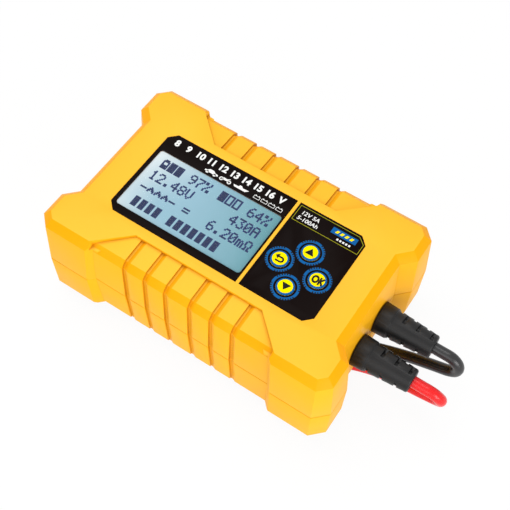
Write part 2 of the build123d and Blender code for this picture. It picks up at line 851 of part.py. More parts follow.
tab_y = heatsink_at[1] + (heatsink_plate + transistor_tab[0]) / 2
body_y = tab_y + (transistor_tab[0] + transistor_body[0]) / 2 - 0.7
with BuildPart() as power_transistors:
    for x in transistor_offsets:
        with BuildSketch(Plane.XY.offset(power_board_top + transistor_leg_height)):
            with Locations((heatsink_at[0] + x, tab_y)):
                Rectangle(transistor_width, transistor_tab[0])
        extrude(amount=transistor_tab[1])
        with BuildSketch(Plane.XY.offset(power_board_top + transistor_leg_height)):
            with Locations((heatsink_at[0] + x, body_y)):
                Rectangle(transistor_width, transistor_body[0])
        extrude(amount=transistor_body[1])
        with BuildSketch(Plane.XY.offset(power_board_top)):
            with Locations((heatsink_at[0] + x, body_y)):
                with GridLocations(pin_pitch, 1, 3, 1):
                    Rectangle(*transistor_leg_size)
        extrude(amount=transistor_leg_height)
save(power_transistors, "power_transistors")

fuse_z = power_board_top + fuse_height
with BuildPart() as fuse_clips:
    for x in (-fuse_clip_offset, fuse_clip_offset):
        with BuildSketch(Plane.YZ.offset(fuse_at[0] + x - fuse_clip_size[0] / 2)):
            with Locations((fuse_at[1], fuse_z)):
                Rectangle(fuse_clip_size[1], fuse_clip_size[2])
                Circle(fuse_cap_radius + fit_gap / 2, mode=Mode.SUBTRACT)
                with Locations((0, fuse_clip_size[2] / 2 - 1)):
                    Rectangle(*fuse_clip_mouth, mode=Mode.SUBTRACT)
        extrude(amount=fuse_clip_size[0])
save(fuse_clips, "fuse_clips")

fuse_ends = (fuse_at[0] - fuse_length / 2, fuse_at[0] + fuse_length / 2 - fuse_cap_length)
with BuildPart() as fuse:
    with BuildSketch(Plane.YZ.offset(fuse_ends[0])):
        with Locations((fuse_at[1], fuse_z)):
            Circle(fuse_radius)
    extrude(amount=fuse_length)
    for cap_start in fuse_ends:
        with BuildSketch(Plane.YZ.offset(cap_start)):
            with Locations((fuse_at[1], fuse_z)):
                Circle(fuse_cap_radius)
        extrude(amount=fuse_cap_length)
save(fuse, "fuse")

terminal_x = power_board_size[0] / 2 - terminal_inset
terminal_top = parting - inner_lead_bend - terminal_below_bend
terminal_places = [(terminal_x, -lead_y), (terminal_x, lead_y)]
with BuildPart() as lead_terminals:
    with BuildSketch(Plane.XY.offset(power_board_top)):
        with Locations(*terminal_places):
            RegularPolygon(terminal_nut_radius, 6)
    extrude(amount=terminal_nut_height)
    with BuildSketch(Plane.XY.offset(power_board_top + terminal_nut_height)):
        with Locations(*terminal_places):
            Circle(terminal_stud_radius)
    extrude(amount=terminal_top - power_board_top - terminal_nut_height)
save(lead_terminals, "lead_terminals")

# Power inlet behind the other end wall, with its contact pin
inlet_front = -end_wall_out + 0.4
inlet_shoulder = -end_wall_in + 0.2
with BuildPart() as power_inlet:
    with BuildSketch(Plane.YZ.offset(inlet_shoulder)):
        with Locations((0, power_board_top + inlet_body[2] / 2)):
            Rectangle(inlet_body[1], inlet_body[2])
    extrude(amount=inlet_body[0])
    with BuildSketch(Plane.YZ.offset(inlet_front)):
        with Locations((0, inlet_height)):
            Circle(inlet_barrel_radius)
    extrude(amount=inlet_shoulder - inlet_front)
    with BuildSketch(Plane.YZ.offset(inlet_front)):
        with Locations((0, inlet_height)):
            Circle(inlet_bore_radius)
    extrude(amount=inlet_bore_depth, mode=Mode.SUBTRACT)
save(power_inlet, "power_inlet")

with BuildPart() as inlet_pin:
    with BuildSketch(Plane.YZ.offset(inlet_front + inlet_bore_depth - inlet_pin_length)):
        with Locations((0, inlet_height)):
            Circle(inlet_pin_radius)
    extrude(amount=inlet_pin_length)
    fillet(inlet_pin.edges().sort_by(Axis.X)[0], inlet_pin_radius * 0.6)
save(inlet_pin, "inlet_pin")


# ---------------------------------------------------------------- strain reliefs
def relief_piece(y):
    """Tapered strain relief with staggered slots, its axis along X at the parting line."""
    axis_line = Axis((0, y, parting), (1, 0, 0))
    flat = Plane(origin=(0, y, parting), x_dir=(1, 0, 0), z_dir=(0, -1, 0))
    bore = lead_radius + fit_gap
    slot_from = end_wall_out + relief_collar_length + relief_slot_width / 2
    taper = (relief_root_radius - relief_tip_radius) / (relief_length - relief_collar_length)
    with BuildPart() as relief:
        with BuildSketch(flat):
            Polygon(
                (end_wall_in - relief_flange_thickness, bore),
                (end_wall_in - relief_flange_thickness, relief_flange_radius),
                (end_wall_in, relief_flange_radius),
                (end_wall_in, relief_neck_radius),
                (end_wall_out, relief_neck_radius),
                (end_wall_out, relief_collar_radius),
                (end_wall_out + relief_collar_length, relief_collar_radius - relief_edge / 2),
                (end_wall_out + relief_collar_length, relief_root_radius),
                (relief_tip - relief_edge, relief_tip_radius),
                (relief_tip, relief_tip_radius - relief_edge),
                (relief_tip, bore),
                align=None,
            )
        revolve(axis=axis_line)
        for row in range(relief_slots):
            start = slot_from + row * relief_slot_pitch
            floor_radius = relief_root_radius - relief_slot_depth
            floor_radius -= row * relief_slot_pitch * taper
            first, sweep_angle = relief_long_slot if row % 2 else relief_short_slot
            for turn in (first, first + 180):
                slot_plane = flat.rotated((turn, 0, 0))
                slot_start = Plane(
                    origin=(0, y, parting), x_dir=(1, 0, 0), z_dir=slot_plane.z_dir
                )
                with BuildSketch(slot_start):
                    Polygon(
                        (start, floor_radius),
                        (start, relief_collar_radius),
                        (start + relief_slot_width, relief_collar_radius),
                        (start + relief_slot_width, floor_radius),
                        align=None,
                    )
                revolve(axis=axis_line, revolution_arc=sweep_angle, mode=Mode.SUBTRACT)
    return relief


for colour, y in (("black", lead_y), ("red", -lead_y)):
    save(relief_piece(y), "strain_relief_" + colour)

# ---------------------------------------------------------------- leads
# Each free lead folds back under its strain relief, slants down to the surface, runs
# under the case between the feet, and comes out behind the case at its clamp.
floor_height = lead_radius + 0.05
black_route = [
    (relief_tip, lead_y, parting),
    (relief_tip + 3.4, lead_y, parting - 0.1),
    (relief_tip + 9.9, lead_y, parting),
    (relief_tip + 13.9, lead_y, parting - 5.1),
    (relief_tip + 12.4, lead_y, parting - 11.4),
    (relief_tip + 2.5, lead_y, parting - 15.2),
    (relief_tip - 9.3, lead_y, parting - 20.4),
    (relief_tip - 22.0, lead_y - 0.3, floor_height),
    (63.5, 4.6, floor_height),
    (50.5, -5.0, floor_height),
    (35.5, -14.2, floor_height),
    (18.0, -21.6, floor_height),
    (-4.0, -24.2, floor_height),
    (-20.0, -24.0, floor_height),
    (-35.7, -23.6, floor_height),
    (-46.6, -12.9, floor_height),
    (-46.4, 2.4, floor_height),
    (-35.4, 13.1, floor_height),
    (-18.0, 13.6, floor_height),
    (2.0, 12.7, floor_height),
    (22.0, 13.1, floor_height),
    (39.0, 12.8, floor_height),
    (55.0, 13.4, floor_height),
    (67.9, 26.2, floor_height),
    (67.9, clamp_y - 12.6, floor_height),
    (clamp_back_black + boot_length + 11.2, clamp_y, lead_entry_height),
    (clamp_back_black + boot_length, clamp_y, lead_entry_height),
]
red_route = [
    (relief_tip, -lead_y, parting),
    (relief_tip + 3.4, -lead_y, parting - 0.1),
    (relief_tip + 10.1, -lead_y, parting),
    (relief_tip + 14.6, -lead_y + 1.3, parting - 4.9),
    (relief_tip + 12.9, -lead_y + 3.6, parting - 11.3),
    (relief_tip + 1.2, -lead_y + 4.2, parting - 14.8),
    (relief_tip - 9.5, -lead_y + 5.8, parting - 19.4),
    (relief_tip - 22.4, -lead_y + 7.4, floor_height),
    (64.0, -7.0, floor_height),
    (51.5, -16.8, floor_height),
    (36.0, -25.2, floor_height),
    (17.0, -30.0, floor_height),
    (-4.0, -31.2, floor_height),
    (-26.0, -30.6, floor_height),
    (-46.0, -31.0, floor_height),
    (-60.0, -30.8, floor_height),
    (-76.3, -30.2, floor_height),
    (-90.6, -15.8, floor_height),
    (-90.8, 5.0, floor_height),
    (-76.4, 18.8, floor_height),
    (-60.0, 19.2, floor_height),
    (-44.0, 18.3, floor_height),
    (-28.9, 18.6, floor_height),
    (-18.2, 29.5, floor_height),
    (-18.2, clamp_y - 10.6, floor_height),
    (clamp_back_red + boot_length + 8.1, clamp_y, lead_entry_height),
    (clamp_back_red + boot_length, clamp_y, lead_entry_height),
]


def lead_tube(name, points):
    """Round lead along straight runs joined by tangent arcs."""
    runs = [(Vector(*b) - Vector(*a)) for a, b in zip(points, points[1:])]
    radii = []
    for index, (before, after) in enumerate(zip(runs, runs[1:])):
        half_turn = math.radians(before.get_angle(after)) / 2
        reach = 0.45 * min(before.length, after.length)
        if index == 0:
            reach = min(0.85 * before.length, 0.45 * after.length)
        if index == len(runs) - 2:
            reach = min(0.45 * before.length, 0.85 * after.length)
        radii.append(reach / math.tan(half_turn))
    tightest = min(radii) / lead_diameter
    with BuildPart() as tube:
        with BuildLine() as route:
            FilletPolyline(*points, radius=radii)
        with BuildSketch(Plane(origin=points[0], z_dir=runs[0])):
            Circle(lead_radius)
        sweep(path=route.wires()[0])
    length = route.wires()[0].length
    section = math.pi * lead_radius**2
    print(name, "length", round(length, 1), "radii", [round(r, 1) for r in radii])
    print(name, "tightest in diameters", round(tightest, 2))
    print(name, "volume / section x length", round(tube.part.volume / (section * length), 4))
    return tube


save(lead_tube("lead_black", black_route), "lead_black")
save(lead_tube("lead_red", red_route), "lead_red")

# The stretch of each lead inside its strain relief and the case, down to its terminal
for colour, y in (("black", lead_y), ("red", -lead_y)):
    with BuildPart() as inner_lead:
        with BuildLine() as inner_path:
            FilletPolyline(
                (relief_tip, y, parting),
                (terminal_x, y, parting),
                (terminal_x, y, terminal_top),
                radius=inner_lead_bend,
            )
        with BuildSketch(Plane(origin=(relief_tip, y, parting), z_dir=(-1, 0, 0))):
            Circle(lead_radius)
        sweep(path=inner_path.wires()[0])
    save(inner_lead, "lead_inner_" + colour)


# ---------------------------------------------------------------- battery clamps
def clamp_side(back_x):
    """Upright plane along the clamp: local x forwards to the jaw tip, local y up."""
    return Plane(origin=(back_x, clamp_y, 0), x_dir=(-1, 0, 0), z_dir=(0, 1, 0))


def clamp_halves(back_x):
    """Lower half that the lead enters, and upper half that opens about the pivot."""
    side = clamp_side(back_x)
    closing = pivot_height
    tip = clamp_length
    inner_ear = clamp_width / 2 - ear_thickness - ear_clearance
    lower_points = [
        (0, 0.8),
        (0.8, 0),
        (30, 0),
        (tip - jaw_opening_slope, 5.5),
        (tip, 9.2),
        (tip, closing - jaw_plate - jaw_closed_gap / 2),
        (tip - 10, closing - jaw_plate - jaw_closed_gap / 2),
        (tip - 12, closing - 4.6),
        (31, closing - 4.6),
        (28, closing - 2.6),
        (26, closing - 6.0),
        (18, closing - 6.0),
        (14, handle_height),
        (0.8, handle_height),
        (0, handle_height - 0.8),
    ]
    upper_points = [(u, 2 * closing - w) for u, w in lower_points]
    with BuildPart() as lower:
        with BuildSketch(side):
            Polygon(*lower_points, align=None)
        extrude(amount=clamp_width / 2, both=True)
        # Ears of the lower half, outside the ears of the upper half
        for offset_y in (-clamp_width / 2, clamp_width / 2 - ear_thickness):
            with BuildSketch(side.offset(offset_y)):
                with Locations((pivot_at, closing)):
                    Circle(ear_radius)
                Polygon(
                    (pivot_at - ear_radius, closing),
                    (pivot_at + ear_radius, closing),
                    (pivot_at + ear_radius, 2),
                    (pivot_at - ear_radius, 2),
                    align=None,
                )
            extrude(amount=ear_thickness)
        with BuildSketch(side):
            with Locations((pivot_at, closing)):
                Circle(pin_radius)
        extrude(amount=clamp_width, both=True, mode=Mode.SUBTRACT)
        # Room for the upper half's ears and the spring between the lower ears
        with BuildSketch(side):
            with Locations((pivot_at, closing)):
                Circle(ear_radius + 0.6)
        extrude(amount=clamp_width / 2 - ear_thickness, both=True, mode=Mode.SUBTRACT)
    with BuildPart() as upper:
        with BuildSketch(side):
            Polygon(*upper_points, align=None)
        extrude(amount=clamp_width / 2, both=True)
        # Clear of the lower ears through the whole swing
        with BuildSketch(side):
            with Locations((pivot_at, closing)):
                Circle(ear_radius + 0.6)
        extrude(amount=clamp_width / 2, both=True, mode=Mode.SUBTRACT)
        for offset_y in (-inner_ear, inner_ear - ear_thickness):
            with BuildSketch(side.offset(offset_y)):
                with Locations((pivot_at, closing)):
                    Circle(ear_radius)
                Polygon(
                    (pivot_at - ear_radius, closing),
                    (pivot_at + ear_radius, closing),
                    (pivot_at + ear_radius, 2 * closing - 2),
                    (pivot_at - ear_radius, 2 * closing - 2),
                    align=None,
                )
            extrude(amount=ear_thickness)
        with BuildSketch(side):
            with Locations((pivot_at, closing)):
                Circle(pin_radius + pin_running_gap)
        extrude(amount=clamp_width, both=True, mode=Mode.SUBTRACT)
        with BuildSketch(side):
            with Locations((pivot_at, closing)):
                Circle(ear_radius + 0.6)
        extrude(amount=inner_ear - ear_thickness, both=True, mode=Mode.SUBTRACT)
    return lower, upper


def jaw_plates(back_x):
    """Toothed copper contact strips at the tips of the two halves."""
    side = clamp_side(back_x)
    start = clamp_length - 9.5
    stop = clamp_length + 0.6
    teeth = int((stop - start) / tooth_pitch)
    base = pivot_height - jaw_closed_gap / 2 - jaw_plate
    edge = [(start, base), (stop, base), (stop, base + 0.5)]
    for tooth in range(teeth):
        edge.append((stop - (tooth + 0.5) * tooth_pitch, base + jaw_plate))
        edge.append((stop - (tooth + 1) * tooth_pitch, base + 0.5))
    lower_edge = [point for point in edge if point[0] >= start]
    upper_edge = [(u, 2 * pivot_height - w) for u, w in lower_edge]
    plates = []
    for outline in (lower_edge, upper_edge):
        with BuildPart() as plate:
            with BuildSketch(side):
                Polygon(*outline, align=None)
            extrude(amount=clamp_width / 2 - 1, both=True)
        plates.append(plate)
    return plates


def pivot_pieces(back_x):
    """Pivot pin with its heads, and the torsion spring round it."""
    side = clamp_side(back_x)
    with BuildPart() as pin:
        with BuildSketch(side):
            with Locations((pivot_at, pivot_height)):
                Circle(pin_radius)
        extrude(amount=clamp_width / 2, both=True)
        for offset_y in (-clamp_width / 2 - 0.6, clamp_width / 2):
            with BuildSketch(side.offset(offset_y)):
                with Locations((pivot_at, pivot_height)):
                    Circle(pin_radius + 0.9)
            extrude(amount=0.6)
    with BuildPart() as spring:
        coil_radius = pin_radius + 0.4 + spring_wire / 2
        middle = Vector(back_x - pivot_at, clamp_y, pivot_height)
        for turn in (-1, 0, 1):
            with Locations(Location(middle + Vector(0, turn * spring_wire, 0), (90, 0, 0))):
                Torus(coil_radius, spring_wire / 2 + 0.05)
    return pin, spring


for colour, back_x in (("black", clamp_back_black), ("red", clamp_back_red)):
    lower_half, upper_half = clamp_halves(back_x)
    save(lower_half, "clamp_lower_" + colour)
    save(upper_half, "clamp_upper_" + colour)
    lower_plate, upper_plate = jaw_plates(back_x)
    save(lower_plate, "jaw_plate_lower_" + colour)
    save(upper_plate, "jaw_plate_upper_" + colour)
    pivot_pin, pivot_spring = pivot_pieces(back_x)
    save(pivot_pin, "clamp_pin_" + colour)
    save(pivot_spring, "clamp_spring_" + colour)
    with BuildPart() as boot:
        with BuildSketch(Plane(origin=(back_x, clamp_y, lead_entry_height), z_dir=(1, 0, 0))):
            Circle(boot_radius - 0.3)
        with BuildSketch(
            Plane(origin=(back_x + boot_length, clamp_y, lead_entry_height), z_dir=(1, 0, 0))
        ):
            Circle(lead_radius + 0.5)
        loft()
    save(boot, "clamp_boot_" + colour)
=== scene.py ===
import math

import bmesh
import bpy
from mathutils import Matrix, Vector


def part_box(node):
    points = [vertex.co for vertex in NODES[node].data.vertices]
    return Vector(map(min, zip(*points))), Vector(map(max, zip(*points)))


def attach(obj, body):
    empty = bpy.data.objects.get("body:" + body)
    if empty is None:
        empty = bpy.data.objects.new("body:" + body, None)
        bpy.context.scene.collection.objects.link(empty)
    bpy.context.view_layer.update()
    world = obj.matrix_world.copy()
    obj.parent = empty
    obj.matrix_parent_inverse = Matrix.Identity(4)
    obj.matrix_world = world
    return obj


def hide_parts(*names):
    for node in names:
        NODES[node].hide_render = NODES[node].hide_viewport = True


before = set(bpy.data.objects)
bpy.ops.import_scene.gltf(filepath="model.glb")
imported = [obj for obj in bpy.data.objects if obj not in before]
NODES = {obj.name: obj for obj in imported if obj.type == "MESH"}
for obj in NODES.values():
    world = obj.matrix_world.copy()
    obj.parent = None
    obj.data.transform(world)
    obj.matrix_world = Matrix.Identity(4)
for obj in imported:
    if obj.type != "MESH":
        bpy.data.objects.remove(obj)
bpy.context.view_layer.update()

MM = 0.001
KEYS = ("back", "up", "ok", "down")
COLOURS = ("black", "red")


# ---------------------------------------------------------------- camera
CAMERA_TARGET = (6.68, 5.31, 29.8)      # point in the middle of the picture, mm
CAMERA_DISTANCE = 445.4                 # mm
CAMERA_AZIMUTH = math.radians(31.70)    # round to the right from square on
CAMERA_ELEVATION = math.radians(58.88)  # above the table
CAMERA_ROLL = math.radians(2.05)


def make_camera():
    """Camera at the photograph's viewing angle, nearly 60 degrees above the table."""
    level = math.cos(CAMERA_ELEVATION)
    away = Vector((
        math.sin(CAMERA_AZIMUTH) * level,
        -math.cos(CAMERA_AZIMUTH) * level,
        math.sin(CAMERA_ELEVATION),
    ))
    data = bpy.data.cameras.new("camera")
    data.lens = 67.13
    data.sensor_width = 36.0
    data.clip_start = 0.01
    camera = bpy.data.objects.new("camera", data)
    bpy.context.scene.collection.objects.link(camera)
    camera.location = (Vector(CAMERA_TARGET) + away * CAMERA_DISTANCE) * MM
    aim = (-away).to_track_quat("-Z", "Y").to_matrix().to_4x4()
    camera.rotation_euler = (aim @ Matrix.Rotation(CAMERA_ROLL, 4, "Z")).to_euler()
    bpy.context.scene.camera = camera


make_camera()

# ---------------------------------------------------------------- cords
# The leads' routes, in millimetres, with the points that the CAD source has. Each lead
# leaves its strain relief, folds back, slants down, runs on the table and ends in its boot.
relief_low, relief_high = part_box("strain_relief_black")
boot_low, boot_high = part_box("clamp_boot_black")
relief_tip = relief_high.x / MM
parting = (relief_low.z + relief_high.z) / 2 / MM
clamp_y = (boot_low.y + boot_high.y) / 2 / MM
LEAD_Y = 9.8      # each strain relief's distance from the middle
ON_TABLE = 2.8    # height of a lead's middle where it lies on the table
IN_BOOT = 3.9     # and where it enters its clamp's boot
LEAD_ROUTES = {
    "black": [
        (relief_tip, LEAD_Y, parting), (relief_tip + 3.4, LEAD_Y, parting - 0.1),
        (relief_tip + 9.9, LEAD_Y, parting), (relief_tip + 13.9, LEAD_Y, parting - 5.1),
        (relief_tip + 12.4, LEAD_Y, parting - 11.4), (relief_tip + 2.5, LEAD_Y, parting - 15.2),
        (relief_tip - 9.3, LEAD_Y, parting - 20.4), (relief_tip - 22.0, LEAD_Y - 0.3, ON_TABLE),
        (63.5, 4.6, ON_TABLE), (50.5, -5.0, ON_TABLE), (35.5, -14.2, ON_TABLE),
        (18.0, -21.6, ON_TABLE), (-4.0, -24.2, ON_TABLE), (-20.0, -24.0, ON_TABLE),
        (-35.7, -23.6, ON_TABLE), (-46.6, -12.9, ON_TABLE), (-46.4, 2.4, ON_TABLE),
        (-35.4, 13.1, ON_TABLE), (-18.0, 13.6, ON_TABLE), (2.0, 12.7, ON_TABLE),
        (22.0, 13.1, ON_TABLE), (39.0, 12.8, ON_TABLE), (55.0, 13.4, ON_TABLE),
        (67.9, 26.2, ON_TABLE), (67.9, clamp_y - 12.6, ON_TABLE), (55.2, clamp_y, IN_BOOT),
        (44.0, clamp_y, IN_BOOT),
    ],
    "red": [
        (relief_tip, -LEAD_Y, parting), (relief_tip + 3.4, -LEAD_Y, parting - 0.1),
        (relief_tip + 10.1, -LEAD_Y, parting),
        (relief_tip + 14.6, -LEAD_Y + 1.3, parting - 4.9),
        (relief_tip + 12.9, -LEAD_Y + 3.6, parting - 11.3),
        (relief_tip + 1.2, -LEAD_Y + 4.2, parting - 14.8),
        (relief_tip - 9.5, -LEAD_Y + 5.8, parting - 19.4),
        (relief_tip - 22.4, -LEAD_Y + 7.4, ON_TABLE), (64.0, -7.0, ON_TABLE),
        (51.5, -16.8, ON_TABLE), (36.0, -25.2, ON_TABLE), (17.0, -30.0, ON_TABLE),
        (-4.0, -31.2, ON_TABLE), (-26.0, -30.6, ON_TABLE), (-46.0, -31.0, ON_TABLE),
        (-60.0, -30.8, ON_TABLE), (-76.3, -30.2, ON_TABLE), (-90.6, -15.8, ON_TABLE),
        (-90.8, 5.0, ON_TABLE), (-76.4, 18.8, ON_TABLE), (-60.0, 19.2, ON_TABLE),
        (-44.0, 18.3, ON_TABLE), (-28.9, 18.6, ON_TABLE), (-18.2, 29.5, ON_TABLE),
        (-18.2, clamp_y - 10.6, ON_TABLE), (-28.9, clamp_y, IN_BOOT), (-37.0, clamp_y, IN_BOOT),
    ],
}
LEAD_DIAMETER = 5.5 * MM


def make_lead(colour):
    """One lead as a smooth curve through its route's control points."""
    curve = bpy.data.curves.new("lead_" + colour + "_line", "CURVE")
    curve.dimensions = "3D"
    # The thickness is on the points: a curve's box grows by its points' radius
    curve.bevel_depth = 1.0
    curve.bevel_resolution = 6
    curve.resolution_u = 14
    curve.use_fill_caps = True
    spline = curve.splines.new("NURBS")
    points = LEAD_ROUTES[colour]
    spline.points.add(len(points) - 1)
    for point, place in zip(spline.points, points):
        point.co = (place[0] * MM, place[1] * MM, place[2] * MM, 1.0)
        point.radius = LEAD_DIAMETER / 2
    spline.order_u = 3
    spline.use_endpoint_u = True
    lead = bpy.data.objects.new("lead_" + colour + "_cable", curve)
    bpy.context.scene.collection.objects.link(lead)
    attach(lead, "root")
    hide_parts("lead_" + colour)
    return lead


LEADS = {colour: make_lead(colour) for colour in COLOURS}


# ---------------------------------------------------------------- materials
def new_material(name):
    """Empty node material with its output and Principled shader."""
    material = bpy.data.materials.new(name)
    material.use_nodes = True
    tree = material.node_tree
    tree.nodes.clear()
    output = tree.nodes.new("ShaderNodeOutputMaterial")
    shader = tree.nodes.new("ShaderNodeBsdfPrincipled")
    tree.links.new(shader.outputs["BSDF"], output.inputs["Surface"])
    return material, tree, shader


def noise(tree, scale, detail=3.0):
    """Noise in the object's own coordinates, scale in features per metre."""
    coords = tree.nodes.new("ShaderNodeTexCoord")
    texture = tree.nodes.new("ShaderNodeTexNoise")
    texture.inputs["Scale"].default_value = scale
    texture.inputs["Detail"].default_value = detail
    tree.links.new(coords.outputs["Object"], texture.inputs["Vector"])
    return texture


def spread(tree, source, low, high):
    """Map a 0.3 to 0.7 noise value onto a range."""
    span = tree.nodes.new("ShaderNodeMapRange")
    span.inputs["From Min"].default_value = 0.3
    span.inputs["From Max"].default_value = 0.7
    span.inputs["To Min"].default_value = low
    span.inputs["To Max"].default_value = high
    tree.links.new(source, span.inputs["Value"])
    return span.outputs["Result"]


def surface(name, colour, roughness, variation=0.04, patch=60, grain=2500, bump=0.05,
            metallic=0.0, specular=0.5):
    """Moulded or machined surface: slight colour drift, uneven gloss and a fine grain.

    variation is the colour's drift as a share; patch and grain are in features per metre.
    """
    material, tree, shader = new_material(name)
    patches = noise(tree, patch)
    mix = tree.nodes.new("ShaderNodeMix")
    mix.data_type = "RGBA"
    mix.inputs["A"].default_value = (*[c * (1 - variation) for c in colour], 1)
    mix.inputs["B"].default_value = (*[min(1.0, c * (1 + variation)) for c in colour], 1)
    tree.links.new(spread(tree, patches.outputs["Fac"], 0, 1), mix.inputs["Factor"])
    tree.links.new(mix.outputs["Result"], shader.inputs["Base Color"])
    fine = noise(tree, grain, 4.0)
    rough = spread(tree, patches.outputs["Fac"], roughness * 0.92, roughness * 1.08)
    tree.links.new(rough, shader.inputs["Roughness"])
    shader.inputs["Metallic"].default_value = metallic
    shader.inputs["Specular IOR Level"].default_value = specular
    relief = tree.nodes.new("ShaderNodeBump")
    relief.inputs["Strength"].default_value = bump
    relief.inputs["Distance"].default_value = 0.1 * MM
    tree.links.new(fine.outputs["Fac"], relief.inputs["Height"])
    tree.links.new(relief.outputs["Normal"], shader.inputs["Normal"])
    return material


def colour_ramp(tree, source, stops):
    """Colours by position along a 0 to 1 value; stops are (position, colour)."""
    ramp = tree.nodes.new("ShaderNodeValToRGB")
    elements = ramp.color_ramp.elements
    elements[0].position, elements[0].color = stops[0][0], (*stops[0][1], 1)
    elements[1].position, elements[1].color = stops[-1][0], (*stops[-1][1], 1)
    for position, colour in stops[1:-1]:
        elements.new(position).color = (*colour, 1)
    tree.links.new(source, ramp.inputs["Fac"])
    return ramp.outputs["Color"]


def multiply_colour(tree, first, second):
    """Product of two colours."""
    mix = tree.nodes.new("ShaderNodeMix")
    mix.data_type = "RGBA"
    mix.blend_type = "MULTIPLY"
    mix.inputs["Factor"].default_value = 1.0
    tree.links.new(first, mix.inputs["A"])
    tree.links.new(second, mix.inputs["B"])
    return mix.outputs["Result"]


# Painted shade on the case by how far a face looks up: walls, slanted edges, flat top; walls and
# slanted edges are drawn darker and oranger, the top keeps its colour
SLOPE_SHADE_TINTS = (
    (0.3, (1.0, 0.93, 0.25)), (0.5, (0.95, 0.77, 0.0)), (0.88, (0.95, 0.77, 0.0)),
    (0.97, (1.0, 1.0, 1.0)),
)
# Painted shade in seams, grooves and steps: ambient occlusion within this reach darkens the yellow
NOOK_SHADE_TINTS = ((0.42, (0.56, 0.42, 0.06)), (0.94, (1.0, 1.0, 1.0)))
NOOK_SHADE_REACH = 2.6 * MM


def case_material():
    """Moulded yellow with painted shade: deeper and richer on the walls and slanted edges, darker
    in seams and grooves.
    """
    material = surface(
        "case_yellow", (0.96, 0.495, 0.03), 0.42, 0.012, 30, 2600, 0.06, specular=0.1
    )
    tree = material.node_tree
    shader = next(n for n in tree.nodes if n.type == "BSDF_PRINCIPLED")
    body = shader.inputs["Base Color"].links[0].from_socket
    # Painted shade: faces are darkened and made oranger by how far they turn from looking up
    facing = tree.nodes.new("ShaderNodeNewGeometry")
    split = tree.nodes.new("ShaderNodeSeparateXYZ")
    tree.links.new(facing.outputs["Normal"], split.inputs["Vector"])
    slope_shade = colour_ramp(tree, split.outputs["Z"], SLOPE_SHADE_TINTS)
    # Painted shade in seams and grooves, from ambient occlusion
    occlusion = tree.nodes.new("ShaderNodeAmbientOcclusion")
    occlusion.inputs["Distance"].default_value = NOOK_SHADE_REACH
    nook_shade = colour_ramp(tree, occlusion.outputs["AO"], NOOK_SHADE_TINTS)
    shaded_body = multiply_colour(tree, multiply_colour(tree, body, slope_shade), nook_shade)
    tree.links.new(shaded_body, shader.inputs["Base Color"])
    return material


# Display face from its left end to its right
DISPLAY_TINTS = ((0.0, (0.68, 0.74, 0.76)), (0.38, (0.26, 0.45, 0.55)), (1.0, (0.08, 0.27, 0.31)))


def display_material():
    """Display face: pale blue-grey at one end, teal at the other, slightly clouded."""
    material, tree, shader = new_material("display_face")
    low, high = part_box("display_window")
    coords = tree.nodes.new("ShaderNodeTexCoord")
    split = tree.nodes.new("ShaderNodeSeparateXYZ")
    tree.links.new(coords.outputs["Object"], split.inputs["Vector"])
    along = tree.nodes.new("ShaderNodeMapRange")
    along.inputs["From Min"].default_value = low.x
    along.inputs["From Max"].default_value = high.x
    along.inputs["To Max"].default_value = 0.9
    tree.links.new(split.outputs["X"], along.inputs["Value"])
    cloud = noise(tree, 22, 1.0)
    total = tree.nodes.new("ShaderNodeMath")
    total.operation = "ADD"
    tree.links.new(along.outputs["Result"], total.inputs[0])
    tree.links.new(spread(tree, cloud.outputs["Fac"], -0.07, 0.16), total.inputs[1])
    tint = colour_ramp(tree, total.outputs["Value"], DISPLAY_TINTS)
    tree.links.new(tint, shader.inputs["Base Color"])
    shader.inputs["Roughness"].default_value = 0.45
    shader.inputs["Specular IOR Level"].default_value = 0.1
    return material


def window_material():
    """Clear window: almost invisible, with a faint gloss."""
    material, tree, shader = new_material("window_clear")
    shader.inputs["Base Color"].default_value = (0.92, 0.97, 0.98, 1)
    shader.inputs["Alpha"].default_value = 0.04
    shader.inputs["Specular IOR Level"].default_value = 0.3
    smear = noise(tree, 90)
    tree.links.new(spread(tree, smear.outputs["Fac"], 0.06, 0.14), shader.inputs["Roughness"])
    return material


def ink(name, colour, variation=0.05, bump=0.03, specular=0.1):
    """Printed colour: matt, nearly even."""
    return surface(name, colour, 0.45, variation, 300, 3000, bump, specular=specular)


YELLOW = case_material()
PANEL = surface("panel_black", (0.005, 0.0022, 0.0018), 0.4, 0.1, 60, 3000, 0.03, specular=0.03)
KEY_YELLOW = surface("key_yellow", (0.98, 0.80, 0.0), 0.45, 0.02, 200, 3000, 0.04, specular=0.0)
BLUE = ink("print_blue", (0.004, 0.11, 0.34), specular=0.05)
BLACK_PRINT = ink("print_black", (0.006, 0.005, 0.005))
WHITE_PRINT = ink("print_white", (0.82, 0.82, 0.8), 0.03, specular=0.5)
YELLOW_PRINT = ink("print_yellow", (0.42, 0.40, 0.01))
DARK_PIXEL = ink("display_dark", (0.003, 0.02, 0.13), bump=0.02, specular=0.05)
RELIEF = surface(
    "relief_rubber", (0.0065, 0.0065, 0.007), 0.42, 0.15, 120, 1800, 0.12, specular=0.3
)
LEAD_FINISH = {
    "black": surface("lead_black", (0.012, 0.012, 0.013), 0.3, 0.15, 120, 1500, 0.06),
    "red": surface("lead_red", (0.76, 0.008, 0.009), 0.27, 0.05, 120, 1500, 0.06, specular=0.35),
}
CLAMP_FINISH = {
    "black": surface("clamp_black", (0.014, 0.014, 0.015), 0.42, 0.1, 120, 1500, 0.15),
    "red": surface("clamp_red", (0.62, 0.012, 0.014), 0.4, 0.05, 120, 1500, 0.15),
}
STEEL = surface("steel", (0.55, 0.55, 0.56), 0.28, 0.05, 300, 4000, 0.1, metallic=1.0)
BRASS = surface("brass", (0.80, 0.60, 0.25), 0.3, 0.05, 300, 4000, 0.1, metallic=1.0)
